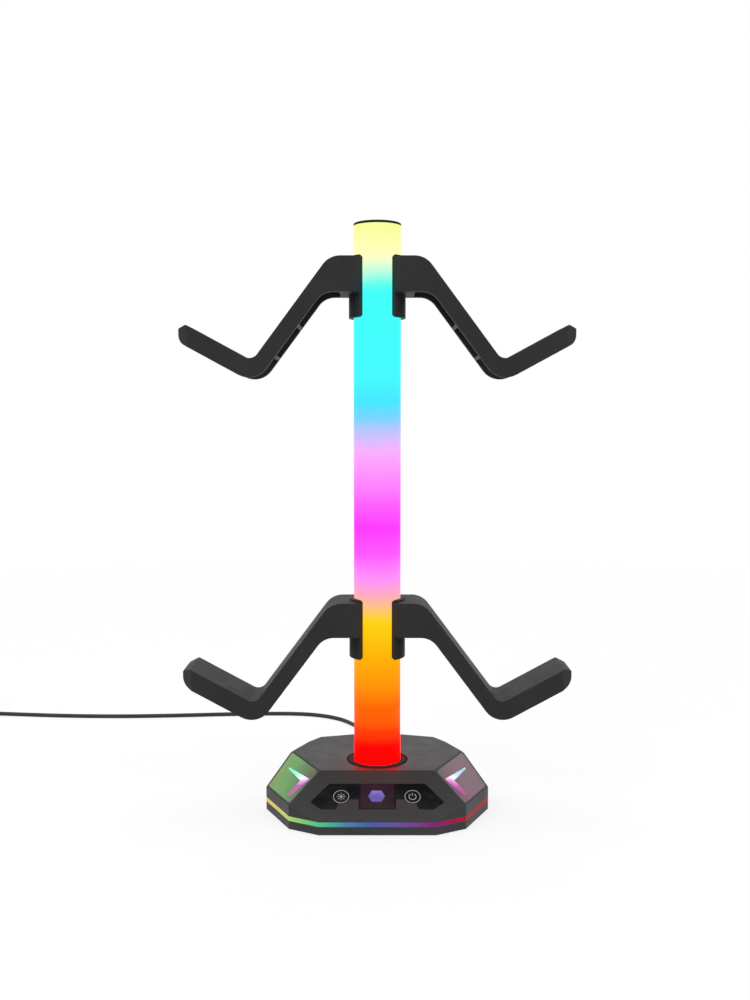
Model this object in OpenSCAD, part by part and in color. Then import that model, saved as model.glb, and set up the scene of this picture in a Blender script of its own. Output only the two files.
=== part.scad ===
// Desk stand that carries four game controllers on clip-on hooks.
// A frosted light tube stands in a faceted base with lit windows, a light ring and a touch panel.
// Frame: +X to the right of the front, +Y to the rear, +Z up.
// The origin lies on the tube's axis at the level of the table.

/* [Overall] */
// Height of the whole stand from the table to the top of the cap
total_h = 249.8; // [220:0.2:290]
// How far the rubber feet hold the tray above the table
foot_proud = 0.4; // [0.3:0.1:2]

/* [Base outline] */
// Width across the two widest corners
base_w = 95.2; // [90:0.2:110]
// Depth from the front edge to the rear edge
base_d = 75; // [72:0.5:90]
// Height of the flat deck above the table
deck_h = 19.7; // [19:0.1:24]
// Width of the straight front edge
front_w = 47.4; // [40:0.2:56]
// Width across the front corners, where slope and windows meet
shoulder_w = 72.4; // [66:0.2:78]
// How far the front corners lie behind the front edge
shoulder_in = 6.7; // [5:0.1:9]
// How far the widest corners lie behind the front edge
widest_in = 29.3; // [26:0.1:34]
// Width across the side corners at the rear
rear_side_w = 63; // [60:0.2:70]
// How far the side corners lie ahead of the rear edge
rear_side_in = 11.5; // [9:0.1:14]
// Width across the rear corners
rear_w = 54; // [50:0.2:58]
// How far the rear corners lie ahead of the rear edge
rear_in = 5; // [4:0.1:7]
// Width of the straight rear edge
back_w = 18; // [14:0.2:24]

/* [Base shells] */
// Wall thickness of cover and tray
wall = 2; // [1.8:0.1:2.4]
// Thickness of the tray's floor
floor_t = 1.6; // [1.2:0.1:2.4]
// Height of the light ring's lower edge above the table
ring_z = 3.8; // [3.5:0.1:5]
// Height of the light ring's visible band
ring_h = 1.9; // [1.5:0.1:2.4]
// Width of the light ring from its outer face inwards
ring_w = 3.2; // [2.8:0.1:4]
// Depth of the lip that centres the light ring in the tray
ring_lip = 1; // [0.6:0.1:1.2]
// Height of the front slope's lower edge above the light ring
slope_rise = 0.5; // [0.3:0.1:1.5]
// Steepness of the front slope in degrees
slope_tilt = 31.5; // [29:0.5:35]
// Steepness of the two window facets in degrees
window_tilt = 28.2; // [27:0.1:33]
// Bevel along the rear edges of the deck
deck_bevel = 0.8; // [0.4:0.1:1.2]

/* [Windows] */
// Width of the rim that the cover leaves round each window
window_rim = 1; // [0.8:0.1:1.6]
// Thickness of the window lens
lens_t = 1.2; // [1:0.1:1.4]
// Width of the ledge under the lens
lens_ledge = 1.2; // [0.8:0.1:1.8]
// Radius of the window's corner beside the deck
window_round = 3; // [1.5:0.1:4]
// Thickness of the chevron light guide
chevron_t = 0.8; // [0.6:0.1:0.9]
// How far the chevron stands proud of its window
chevron_proud = 0.15; // [0.05:0.05:0.4]

/* [Touch panel] */
// Width of the panel across its pointed ends
panel_w = 54.8; // [50:0.2:58]
// Width of the panel's top edge
panel_top_w = 39.8; // [34:0.2:44]
// Distance of the panel's lower edge up the slope
panel_low = 5.9; // [5:0.1:8]
// Height of the panel along the slope
panel_rise = 12.9; // [10:0.1:14]
// Distance of the two touch keys from the middle
key_side = 14.8; // [13:0.1:17]
// Height of the touch keys up the slope
key_up = 12.3; // [11:0.1:14]
// Radius of the round field of each key
key_r = 3.7; // [3:0.1:4.5]
// Thickness of the panel
panel_t = 1; // [0.8:0.1:1.2]
// Width of the centre lens
mark_w = 15; // [12:0.2:18]
// Thickness of the centre lens
mark_t = 0.5; // [0.3:0.1:0.6]

/* [Light tube] */
// Outer diameter of the tube
tube_d = 20; // [18:0.2:22]
// Wall thickness of the tube
tube_wall = 1.5; // [1.2:0.1:2]
// Height of the cap's dome above its rim
cap_dome = 0.8; // [0.4:0.1:2]
// Thickness of the cap's rim on top of the tube
cap_rim = 0.9; // [0.4:0.1:1.5]
// Depth of the cap's spigot inside the tube
cap_spigot = 7; // [5:0.5:12]
// Depth of the foot plug inside the tube
plug_h = 10; // [7:0.5:14]
// Width of the collar round the foot of the tube
collar_w = 2.4; // [1.8:0.1:3]
// Width of the groove outside the collar
groove_w = 0.7; // [0.5:0.1:1]
// Width of the light strip inside the tube
spine_w = 10; // [8:0.2:12]
// Thickness of the light strip
spine_t = 1; // [0.8:0.1:1.6]
// Distance between the lamps on the light strip
lamp_pitch = 16.6; // [12:0.2:24]

/* [Holders] */
// Distance of the upper holder's top edge below the top of the cap
upper_drop = 14.6; // [4:0.2:50]
// Height of the lower holder's top edge above the table
lower_top = 90.9; // [80:0.2:120]
// Height of the clip that grips the tube
clip_h = 25.4; // [20:0.2:32]
// Wall thickness of the clip
clip_wall = 1.9; // [1.6:0.1:3]
// Width of the clip's opening at the front
clip_open = 12; // [9:0.2:15]
// Width of the arms from front to rear
arm_w = 24; // [18:0.5:30]
// Height of the web where the arm leaves the clip
web_h = 14.6; // [11:0.2:17]
// Depth of the sloping arm, square to its length
arm_t = 6.5; // [5:0.1:8]
// Slope of the arm in degrees
arm_tilt = 53.3; // [48:0.1:58]
// Distance of the hook's outer corner from the tube's axis
hook_x = 50.7; // [46:0.1:58]
// Drop of the hook's outer corner below the clip's top
hook_drop = 53.2; // [48:0.1:60]
// Slope of the tongue in degrees
tongue_tilt = 28.5; // [22:0.5:34]
// Depth of the tongue, square to its length
tongue_t = 7.8; // [6:0.1:9]
// Distance of the tongue's tip from the tube's axis
tip_x = 82.8; // [76:0.2:92]
// Bevel of the tongue's corners, seen from above
tip_bevel = 4.2; // [2:0.1:6]
// Plate thickness of the moulded hook
hook_skin = 2.6; // [2:0.1:3.2]
// Thickness of the cross ribs under the hook
hook_rib = 1.6; // [1.2:0.1:2.4]

/* [Inside] */
// Thickness of the steel weight
weight_t = 3; // [2:0.1:3.2]
// Thickness of the circuit boards
board_t = 1; // [0.8:0.1:1.6]
// Radius of the screw posts in the cover
post_r = 2.6; // [2.3:0.1:3]
// Radius of the screws' shanks
screw_r = 1.2; // [1:0.1:1.4]
// Radius of the screws' heads
head_r = 2.3; // [2:0.1:2.6]
// Radius of the rubber feet
foot_r = 4; // [3:0.1:5]
// Thickness of the rubber feet
foot_t = 1.4; // [1.2:0.1:1.8]

/* [Lead] */
// Diameter of the power lead
lead_d = 2.2; // [2:0.1:2.6]
// Height of the lead's exit above the table
gland_z = 9.2; // [9:0.1:12]
// Length of the strain relief behind the cover
gland_l = 15; // [12:0.5:20]
// Turns of the coil that lie side by side
coil_across = 3; // [3:1:4]
// Turns of the coil that lie on each other
coil_high = 4; // [3:1:5]
// Radius of the coil at the middle of its turns
coil_r = 12; // [11:0.5:16]
// Width of the plug's body
plug_w = 15.6; // [14:0.2:17]
// Thickness of the plug's body
plug_body_t = 8; // [7:0.2:9]

/* [Hidden] */
$fn = 64;

// Clearances
fit_gap = 0.1;
slide_gap = 0.2;
lip_gap = 0.2;
// A length that reaches past everything, for cutters
far = 400;

// Levels of the base
tray_z = foot_proud;
floor_z = tray_z + floor_t;
ring_top = ring_z + ring_h;
slope_z = ring_top + slope_rise;
front_y = -base_d / 2;
rear_y = base_d / 2;

// Outline of the base, anticlockwise from the right end of the front edge
half_outline = [
    [front_w / 2, front_y],
    [shoulder_w / 2, front_y + shoulder_in],
    [base_w / 2, front_y + widest_in],
    [rear_side_w / 2, rear_y - rear_side_in],
    [rear_w / 2, rear_y - rear_in],
    [back_w / 2, rear_y]];
outline = concat(half_outline, [for (i = [5:-1:0]) [-half_outline[i][0], half_outline[i][1]]]);
// Edges of the deck that carry a bevel, from the right window to the left one
rear_edges = [2:8];
// Every second bevel is deeper by this step
bevel_step = 0.2;

// Window facets, in the plane of the facet: x along its lower edge, y up its slope
window_step = 0.2;
window_z = slope_z + shoulder_in * tan(slope_tilt) - window_step;
edge_run = half_outline[2] - half_outline[1];
edge_len = norm(edge_run);
edge_turn = atan2(edge_run[1], edge_run[0]);
facet_in = (deck_h - window_z) / tan(window_tilt);
facet_rise = (deck_h - window_z) / sin(window_tilt);
slope_in = (deck_h - slope_z) / tan(slope_tilt);
// Where the facet's upper edge ends: at the front slope and at the side wall
near_end = (slope_in - shoulder_in - facet_in * cos(edge_turn)) / sin(edge_turn);
side_run = half_outline[3] - half_outline[2];
side_share = facet_in / (side_run[1] * cos(edge_turn) - side_run[0] * sin(edge_turn));
far_end = edge_len + side_share * (side_run[0] * cos(edge_turn) + side_run[1] * sin(edge_turn));
facet_corners = [[0, 0], [edge_len, 0], [far_end, facet_rise], [near_end, facet_rise]];
lens_corners = inset(facet_corners, window_rim);

// Chevron in the plane of the facet, pointing at the tube
chevron_apex = [near_end - 0.3, facet_rise - 6];
chevron_outline = [
    chevron_apex,
    chevron_apex + [-2.6, -10.8],
    chevron_apex + [0.4, -11.6],
    chevron_apex + [3.6, -2.8],
    chevron_apex + [18.9, -1.9],
    chevron_apex + [19.1, -1.3]];

// Touch panel in the plane of the slope: x across, y up the slope
panel_top = panel_low + panel_rise;
panel_tip_y = panel_low + 3.5;
notch_y = panel_low + 5;
panel_half = [
    [mark_w / 2, panel_low],
    [mark_w / 2, notch_y],
    [panel_w / 2 - 12, notch_y],
    [panel_w / 2 - 10.4, panel_low],
    [panel_w / 2 - 4.4, panel_low],
    [panel_w / 2, panel_tip_y],
    [panel_top_w / 2, panel_top]];
panel_outline = concat(panel_half, [for (i = [6:-1:0]) [-panel_half[i][0], panel_half[i][1]]]);

// Tube, cap and socket
tube_r = tube_d / 2;
tube_bore = tube_r - tube_wall;
spigot_r = tube_bore - fit_gap;
socket_r = tube_r + slide_gap;
collar_r = socket_r + collar_w;
collar_seat = 1.2;
collar_proud = 0.3;
boss_r = socket_r + 2.4;
seat_z = 7.6;
boss_z = seat_z - 1.5;
tube_top = total_h - cap_dome - cap_rim;
plug_top = seat_z + plug_h;
slot_depth = 3;
spine_z0 = plug_top - slot_depth;
spine_z1 = tube_top - cap_spigot + slot_depth;
lamp_margin = 4;
lamp_count = floor((spine_z1 - spine_z0 - 2 * slot_depth - 2 * lamp_margin) / lamp_pitch);
lamp_w = 3.4;
lamp_t = 1.4;
tube_screw_x = 5.4;
tube_screw_grip = 5;

// Screws, posts and feet, measured from the corners and edges of the base
post_front_side = 16.2;
post_front_in = 27.5;
post_rear_side = 5.5;
post_rear_in = 14;
post_front = [shoulder_w / 2 - post_front_side, front_y + post_front_in];
post_rear = [rear_w / 2 - post_rear_side, rear_y - post_rear_in];
post_spots = [for (spot = [post_front, post_rear], side = [1, -1]) [side * spot[0], spot[1]]];
pillar_r = post_r + 1.4;
pillar_top = 5;
head_t = 1.4;
head_seat = 3.2;
screw_hole_r = screw_r + slide_gap;
pilot_r = screw_r + 0.05;
screw_len = 8;
foot_front_side = 8.2;
foot_front_in = 13.5;
foot_rear_side = 13;
foot_rear_in = 8.5;
foot_front = [shoulder_w / 2 - foot_front_side, front_y + foot_front_in];
foot_rear = [rear_w / 2 - foot_rear_side, rear_y - foot_rear_in];
foot_spots = [for (spot = [foot_front, foot_rear], side = [-1, 1]) [side * spot[0], spot[1]]];

// Boards and lamps in the base
standoff_r = 2.4;
standoff_x = 13;
standoff_in = 15.5;
standoff_y = rear_y - standoff_in;
board_z = 6.4;
board_w = 32;
board_d = 13;
connector_h = gland_z - board_z - board_t + 1.4;
strip_in = ring_w + 1.6;
strip_t = 0.4;
strip_h = 3.6;
weight_in = 8;
weight_gap = 3.5;
weight_rear = standoff_y - board_d / 2 - weight_gap;
window_board = [16, 8];
window_board_in = 13;

// Hook profile: x away from the tube, y upwards, zero at the clip's top
web_drop = 0.8;
tip_slope = [3.6, 1.4];
arm_ribs = [14, 30];
tongue_ribs = [12, 24];
hook_corner = [hook_x, -hook_drop];
arm_dir = [-cos(arm_tilt), sin(arm_tilt)];
arm_normal = [sin(arm_tilt), cos(arm_tilt)];
tongue_dir = [cos(tongue_tilt), sin(tongue_tilt)];
tongue_normal = [-sin(tongue_tilt), cos(tongue_tilt)];
clip_r = tube_r + fit_gap + clip_wall;
upper_top = total_h - upper_drop;

// Route of the power lead where it is not coiled, from the strain relief to the coil
lead_r = lead_d / 2;
gland_neck_r = 2.5;
gland_flange_r = 3.3;
gland_flange_t = 1.2;
gland_tip_y = rear_y + gland_l;
lead_route = [
    [0, 0, 0], [0, 1.5, 0], [0, 3, 0], [0, 7, -0.5], [-0.2, 13, -2.2], [-0.6, 19, -5],
    [-1, 26, -7.4], [-2.2, 34, -8.1],
    [-4, 42, -8.1], [-6.6, 50, -8.1], [-10, 58, -8.1], [-14.6, 66, -8.1], [-20, 73, -8.1],
    [-28, 79, -8.1], [-38, 83, -8.1], [-50, 84.6, -8.1], [-62, 84.6, -8.1], [-75, 84, -8.1],
    [-90, 83, -8.1], [-105, 81.6, -8.1], [-120, 80.4, -8.1], [-135, 79.6, -8.1],
    [-150, 79.4, -8.1], [-165, 79.8, -8.1], [-180, 80.8, -8.1], [-195, 82.4, -8.1],
    [-208, 84, -8.1], [-220, 85, -8], [-231.5, 85.2, -7.8]];
// Route from the coil to the plug, measured from the coil's centre
tail_route = [
    [14.2, -8.6, 7.8], [14.2, -14, 7], [14.2, -20, 5.8], [14.2, -26, 4.6], [14.2, -31, 4],
    [14.2, -33.5, 4], [14.2, -36, 4]];
coil_centre = [-240, gland_tip_y + 99.5, 0];
tie_t = 0.5;
coil_z = tie_t + 0.1;
coil_half = coil_across * lead_r;
coil_tall = coil_high * lead_d;
plug_at = coil_centre + tail_route[len(tail_route) - 1];
plug_len = 22;
shell_len = 18.6;

// Unit vector along v
function unit(v) = v / norm(v);

// Outward normal of the edge from a to b on an anticlockwise outline
function edge_normal(a, b) = unit([b[1] - a[1], a[0] - b[0]]);

// Corner b moved inwards so that both edges that meet there move by t
function inset_corner(a, b, c, t) =
    let (m = edge_normal(a, b), n = edge_normal(b, c))
    b - t * (m + n) / (1 + m * n);

// Outline moved inwards by t on every side
function inset(points, t) =
    let (n = len(points))
    [for (i = [0:n - 1]) inset_corner(points[(i + n - 1) % n], points[i], points[(i + 1) % n], t)];

// Point where the line through p along u meets the line through q along v
function meet(p, u, q, v) =
    p + u * ((q[0] - p[0]) * v[1] - (q[1] - p[1]) * v[0]) / (u[0] * v[1] - u[1] * v[0]);

// Arc of radius r that rounds corner b between a and c
function rounded(a, b, c, r, steps = 8) =
    let (u = unit(a - b), v = unit(c - b),
        half = acos(max(-1, min(1, u * v))) / 2,
        back = r / tan(half),
        centre = b + unit(u + v) * r / sin(half),
        start = b + u * back - centre,
        stop = b + v * back - centre,
        sweep = 180 - 2 * half,
        side = sign(start[0] * stop[1] - start[1] * stop[0]))
    [for (i = [0:steps])
        let (w = side * sweep * i / steps)
        centre + [start[0] * cos(w) - start[1] * sin(w), start[0] * sin(w) + start[1] * cos(w)]];

// Outline with each corner rounded by its own radius
function round_all(points, radii) =
    let (n = len(points))
    [for (i = [0:n - 1])
        for (p = radii[i] > 0
            ? rounded(points[(i + n - 1) % n], points[i], points[(i + 1) % n], radii[i])
            : [points[i]]) p];

// Upright prism over an outline
module prism(points, z0, z1) {
    translate([0, 0, z0])
        linear_extrude(z1 - z0)
            polygon(points);
}

// Upright prism with an outline as its outer face and a wall of thickness t
module wall_ring(points, t, z0, z1) {
    difference() {
        prism(points, z0, z1);
        prism(inset(points, t), z0 - 1, z1 + 1);
    }
}

// Rectangle with round corners, centred
module rounded_rect(w, d, r) {
    square([w - 2 * r, d], center = true);
    square([w, d - 2 * r], center = true);
    for (x = [-1, 1], y = [-1, 1])
        translate([x * (w / 2 - r), y * (d / 2 - r)])
            circle(r);
}

// Children placed on the front slope: x across, y up the slope, z out of the surface
module on_slope() {
    translate([0, front_y, slope_z])
        rotate([slope_tilt, 0, 0])
            children();
}

// Children placed on a window facet: x along its lower edge, y up the slope, z out of the surface
module on_window(side) {
    mirror([side < 0 ? 1 : 0, 0, 0])
        translate([shoulder_w / 2, front_y + shoulder_in, window_z])
            rotate([0, 0, edge_turn])
                rotate([window_tilt, 0, 0])
                    children();
}

// Everything above a plane, sunk by depth
module half_space(depth) {
    translate([-far, -far, -depth])
        cube([2 * far, 2 * far, far]);
}

// Cutter for the bevel along one rear edge of the deck
module edge_bevel(i) {
    a = outline[i];
    b = outline[i + 1];
    translate([a[0], a[1], deck_h - deck_bevel - bevel_step * (i % 2)])
        rotate([0, 0, atan2(b[1] - a[1], b[0] - a[0])])
            rotate([45, 0, 0])
                half_space(0);
}

// Faceted body of the base above z0; depth 0 is the outer face and depth wall is the cavity
module faceted_body(depth, z0) {
    difference() {
        prism(inset(outline, depth), z0, deck_h - depth);
        on_slope() half_space(depth);
        for (side = [-1, 1])
            on_window(side) half_space(depth);
    }
}

// Window outline moved inwards by t, with its round corner at the deck
module window_outline(t) {
    polygon(round_all(inset(lens_corners, t), [0.6, 0.6, 0.6, window_round]));
}

// Pocket and light opening of one window
module window_cut(side) {
    on_window(side) {
        translate([0, 0, -lens_t])
            linear_extrude(lens_t + 1)
                window_outline(-fit_gap);
        translate([0, 0, -2 * wall])
            linear_extrude(2 * wall)
                window_outline(lens_ledge);
    }
}

module base_cover() {
    color("#4a4a4c")
    difference() {
        union() {
            difference() {
                faceted_body(0, ring_top);
                faceted_body(wall, ring_top - 1);
                for (i = rear_edges)
                    edge_bevel(i);
            }
            translate([0, 0, boss_z])
                cylinder(r = boss_r, h = deck_h - wall / 2 - boss_z);
            for (spot = post_spots)
                translate([spot[0], spot[1], pillar_top])
                    cylinder(r = post_r, h = deck_h - wall / 2 - pillar_top);
        }
        translate([0, 0, seat_z])
            cylinder(r = socket_r, h = deck_h);
        translate([0, 0, deck_h - collar_seat])
            cylinder(r = collar_r + groove_w, h = collar_seat + 1);
        translate([0, 0, boss_z - 1])
            cylinder(r = 3, h = seat_z);
        for (x = [-tube_screw_x, tube_screw_x])
            translate([x, 0, boss_z - 1])
                cylinder(r = screw_hole_r, h = seat_z);
        for (spot = post_spots)
            translate([spot[0], spot[1], pillar_top - 1])
                cylinder(r = pilot_r, h = 1 + screw_len - (pillar_top - head_seat) + 1);
        for (side = [-1, 1])
            window_cut(side);
        on_slope()
            translate([0, 0, -panel_t])
                linear_extrude(panel_t + 1)
                    panel_plan(fit_gap);
        translate([0, rear_y - 2 * wall, gland_z])
            rotate([-90, 0, 0])
                cylinder(r = gland_neck_r + fit_gap, h = 3 * wall);
    }
}

module base_tray() {
    color("#3c3c3e")
    difference() {
        union() {
            prism(outline, tray_z, floor_z);
            wall_ring(outline, wall, tray_z, ring_z);
            for (spot = post_spots)
                translate([spot[0], spot[1], tray_z])
                    cylinder(r = pillar_r, h = pillar_top - tray_z);
            for (x = [-standoff_x, standoff_x])
                translate([x, standoff_y, tray_z])
                    cylinder(r = standoff_r, h = board_z - tray_z);
        }
        for (spot = post_spots)
            translate([spot[0], spot[1], 0]) {
                cylinder(r = screw_hole_r, h = far);
                cylinder(r = head_r + slide_gap, h = head_seat);
            }
        for (x = [-standoff_x, standoff_x])
            translate([x, standoff_y, floor_z + 0.4])
                cylinder(r = 0.85, h = far);
        for (spot = foot_spots)
            translate([spot[0], spot[1], 0])
                cylinder(r = foot_r + fit_gap, h = foot_t);
    }
}

module light_ring() {
    color("#7fe0c8")
    union() {
        wall_ring(outline, ring_w, ring_z, ring_top);
        wall_ring(inset(outline, wall + lip_gap), ring_w - wall - lip_gap, ring_z - ring_lip, ring_z + 0.1);
    }
}

module window_lens(side) {
    color("#86a860")
    on_window(side)
        difference() {
            translate([0, 0, -lens_t])
                linear_extrude(lens_t)
                    window_outline(0);
            translate([0, 0, -chevron_t])
                linear_extrude(chevron_t + 1)
                    polygon(inset(chevron_outline, -fit_gap));
        }
}

module chevron(side) {
    color("#e070ff")
    on_window(side)
        translate([0, 0, -chevron_t])
            linear_extrude(chevron_t + chevron_proud)
                polygon(chevron_outline);
}

module window_left() { window_lens(-1); }
module window_right() { window_lens(1); }
module chevron_left() { chevron(-1); }
module chevron_right() { chevron(1); }

module touch_panel() {
    color("#141414")
    on_slope()
        difference() {
            translate([0, 0, -panel_t])
                linear_extrude(panel_t)
                    panel_plan();
            translate([0, panel_low + panel_rise / 2, -mark_t])
                linear_extrude(mark_t + 1)
                    square([mark_w, panel_rise] - [0.8, 0.8], center = true);
        }
}

module mark_lens() {
    color("#3c2038")
    on_slope()
        translate([0, panel_low + panel_rise / 2, -mark_t])
            linear_extrude(mark_t)
                square([mark_w, panel_rise] - [1, 1], center = true);
}

module socket_collar() {
    color("#161616")
    translate([0, 0, deck_h - collar_seat])
        rotate_extrude()
            polygon([[socket_r, 0], [collar_r, 0], [collar_r, collar_seat + collar_proud - 0.4],
                [collar_r - 0.4, collar_seat + collar_proud], [socket_r, collar_seat + collar_proud]]);
}

module weight_plate() {
    color("#8a8c90")
    difference() {
        intersection() {
            prism(inset(outline, weight_in), floor_z, floor_z + weight_t);
            translate([-far, -far, 0])
                cube([2 * far, far + weight_rear, far]);
        }
        for (spot = post_spots)
            translate([spot[0], spot[1], 0])
                cylinder(r = pillar_r + slide_gap, h = far);
        cylinder(r = 9, h = far);
    }
}

module main_board() {
    color("#1d6b3a")
    difference() {
        translate([-board_w / 2, standoff_y - board_d / 2, board_z])
            cube([board_w, board_d, board_t]);
        for (x = [-standoff_x, standoff_x])
            translate([x, standoff_y, 0])
                cylinder(r = 1, h = far);
    }
    color("#222222")
    translate([-3.5, standoff_y - 5.5, board_z + board_t])
        cube([7, 7, 1.2]);
    color("#e8e4d8")
    translate([-3, standoff_y + board_d / 2 - 4, board_z + board_t])
        cube([6, 4, connector_h]);
    color("#6a6a6a")
    translate([7.5, standoff_y - 3, board_z + board_t])
        cylinder(r = 1.8, h = 3.4);
}

module touch_board() {
    color("#1d6b3a")
    on_slope()
        translate([-panel_top_w / 2, panel_low + 1, -wall - board_t])
            cube([panel_top_w, panel_rise - 3.4, board_t]);
}

// One small lamp package on a board
module lamp() {
    translate([-lamp_w / 2, -lamp_w / 2, 0])
        cube([lamp_w, lamp_w, lamp_t]);
}

module window_boards() {
    for (side = [-1, 1])
        mirror([side < 0 ? 1 : 0, 0, 0])
            translate([shoulder_w / 2, front_y + shoulder_in, floor_z + weight_t])
                rotate([0, 0, edge_turn])
                    translate([edge_len / 2 + 1, window_board_in, 0]) {
                        color("#1d6b3a")
                        translate([-window_board[0] / 2, -window_board[1] / 2, 0])
                            cube([window_board[0], window_board[1], board_t]);
                        color("#f4f0d0")
                        for (x = [-4.5, 4.5])
                            translate([x, 0, board_t])
                                lamp();
                    }
}

module ring_strip() {
    color("#e9e6dc")
    wall_ring(inset(outline, strip_in), strip_t, floor_z, floor_z + strip_h);
}

// Lamps of the light ring, two on each long edge and one on each short one
module ring_lamps() {
    color("#f4f0d0")
    for (i = [0:len(outline) - 1]) {
        a = inset(outline, strip_in)[i];
        b = inset(outline, strip_in)[(i + 1) % len(outline)];
        run = b - a;
        count = norm(run) > 20 ? 2 : 1;
        if (norm(run) > lamp_w + 2)
            for (k = [1:count])
                let (spot = a + run * (2 * k - 1) / (2 * count))
                    translate([spot[0], spot[1], floor_z + 0.4])
                        rotate([0, 0, atan2(run[1], run[0])])
                            translate([-lamp_w / 2, -lamp_t, 0])
                                cube([lamp_w, lamp_t, 2.6]);
    }
}

// Pan head screw, head down, with its seat at z = 0
module screw(shank_r, shank_len, cap_r, cap_t) {
    difference() {
        union() {
            cylinder(r = shank_r, h = shank_len);
            translate([0, 0, -cap_t])
                cylinder(r = cap_r, h = cap_t);
        }
        translate([0, 0, -cap_t - 1])
            for (turn = [0, 90])
                rotate([0, 0, turn])
                    translate([-cap_r * 0.6, -cap_r * 0.14, 0])
                        cube([cap_r * 1.2, cap_r * 0.28, 1 + cap_t * 0.55]);
    }
}

module base_screws() {
    color("#b8b8ba")
    for (spot = post_spots)
        translate([spot[0], spot[1], head_seat])
            screw(screw_r, screw_len, head_r, head_t);
}

module board_screws() {
    color("#b8b8ba")
    for (x = [-standoff_x, standoff_x])
        translate([x, standoff_y, board_z + board_t])
            rotate([180, 0, 0])
                screw(0.8, board_t + 2.4, 1.6, 0.9);
}

module tube_screws() {
    color("#b8b8ba")
    for (x = [-tube_screw_x, tube_screw_x])
        translate([x, 0, boss_z])
            screw(screw_r, seat_z - boss_z + tube_screw_grip, head_r - 0.2, 1.2);
}

// Rubber foot with a bevelled lower edge
module foot(spot) {
    color("#1b1b1b")
    translate([spot[0], spot[1], 0])
        rotate_extrude()
            polygon([[0, 0], [foot_r - 0.4, 0], [foot_r, 0.4], [foot_r, foot_t], [0, foot_t]]);
}

module foot_front_left() { foot([-foot_front[0], foot_front[1]]); }
module foot_front_right() { foot(foot_front); }
module foot_rear_left() { foot([-foot_rear[0], foot_rear[1]]); }
module foot_rear_right() { foot(foot_rear); }

module light_tube() {
    color("#fff4ff")
    translate([0, 0, seat_z])
        difference() {
            cylinder(r = tube_r, h = tube_top - seat_z);
            translate([0, 0, -1])
                cylinder(r = tube_bore, h = tube_top - seat_z + 2);
        }
}

// Slot that holds one end of the light strip
module spine_slot() {
    translate([-spine_w / 2 - fit_gap, -spine_t / 2 - fit_gap, 0])
        cube([spine_w + 2 * fit_gap, spine_t + 2 * fit_gap, slot_depth + 1]);
}

module tube_plug() {
    color("#2a2a2c")
    difference() {
        translate([0, 0, seat_z])
            cylinder(r = spigot_r, h = plug_h);
        translate([0, 0, seat_z - 1])
            cylinder(r = 2.4, h = plug_h - slot_depth - 1);
        translate([0, 0, plug_top - slot_depth])
            spine_slot();
        for (x = [-tube_screw_x, tube_screw_x])
            translate([x, 0, seat_z - 1])
                cylinder(r = pilot_r, h = 1 + tube_screw_grip + 0.4);
    }
}

module led_spine() {
    color("#f2f2ee")
    translate([-spine_w / 2, -spine_t / 2, spine_z0])
        cube([spine_w, spine_t, spine_z1 - spine_z0]);
}

module spine_lamps() {
    color("#f4f0d0")
    for (i = [0:lamp_count], side = [0, 180])
        rotate([0, 0, side])
            translate([0, -spine_t / 2, spine_z0 + slot_depth + lamp_margin + lamp_w / 2 + i * lamp_pitch])
                rotate([90, 0, 0])
                    lamp();
}

module tube_cap() {
    color("#141414")
    difference() {
        union() {
            translate([0, 0, tube_top])
                rotate_extrude()
                    polygon(concat([[0, 0], [tube_r, 0], [tube_r, cap_rim]],
                        [for (i = [1:6]) [tube_r * cos(15 * i), cap_rim + cap_dome * sin(15 * i)]]));
            translate([0, 0, tube_top - cap_spigot])
                cylinder(r = spigot_r, h = cap_spigot + cap_rim / 2);
        }
        translate([0, 0, tube_top - cap_spigot - 1])
            spine_slot();
    }
}

// Touch panel seen square on, with a round field for each key
module panel_plan(gap = 0) {
    polygon(inset(panel_outline, -gap));
    for (x = [-1, 1])
        translate([x * key_side, key_up])
            circle(key_r + gap);
}

// Clip opening seen from the front, with round corners at the clip's top and bottom
module clip_opening(round_r = 1.6) {
    square([clip_open, clip_h + 2], center = true);
    for (x = [-1, 1], z = [-1, 1])
        translate([x * clip_open / 2, z * clip_h / 2])
            difference() {
                square(2 * round_r, center = true);
                translate([x * round_r, -z * round_r])
                    circle(round_r);
            }
}

// Wedge that cuts the clip's ends along radii, seen from above, a small step wider than the opening
module clip_mouth(step = 0.15) {
    bore_r = tube_r + fit_gap;
    half_w = clip_open / 2 + step;
    depth = sqrt(bore_r * bore_r - half_w * half_w);
    polygon(2 * clip_r / bore_r * [[0, 0], [half_w, -depth], [-half_w, -depth]]);
}

// Side view of one hook; skin moves its upper faces in and under moves its lower faces out
module hook_profile(skin = 0, under = 0) {
    arm_top = hook_corner + (arm_t - skin) * arm_normal;
    arm_low = hook_corner - under * arm_normal;
    tongue_top = hook_corner + (tongue_t - skin) * tongue_normal;
    tongue_low = hook_corner - under * tongue_normal;
    top_y = -web_drop - skin;
    low_y = -web_drop - web_h - under;
    end_x = tip_x - skin;
    tip_top = meet(tongue_top, tongue_dir, [end_x - tip_slope[0], 0], [0, 1]);
    points = [
        [clip_open / 2, low_y],
        meet(arm_low, arm_dir, [0, low_y], [1, 0]),
        meet(arm_low, arm_dir, tongue_low, tongue_dir),
        meet(tongue_low, tongue_dir, [end_x, 0], [0, 1]),
        [end_x, tip_top[1] - tip_slope[1]],
        tip_top,
        meet(arm_top, arm_dir, tongue_top, tongue_dir),
        meet(arm_top, arm_dir, [0, top_y], [1, 0]),
        [clip_open / 2, top_y]];
    polygon(round_all(points, [0, 8.4, 9, skin > 0 ? 0 : 5, 0.8, 0.8, 4, 9, 0]));
}

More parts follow.
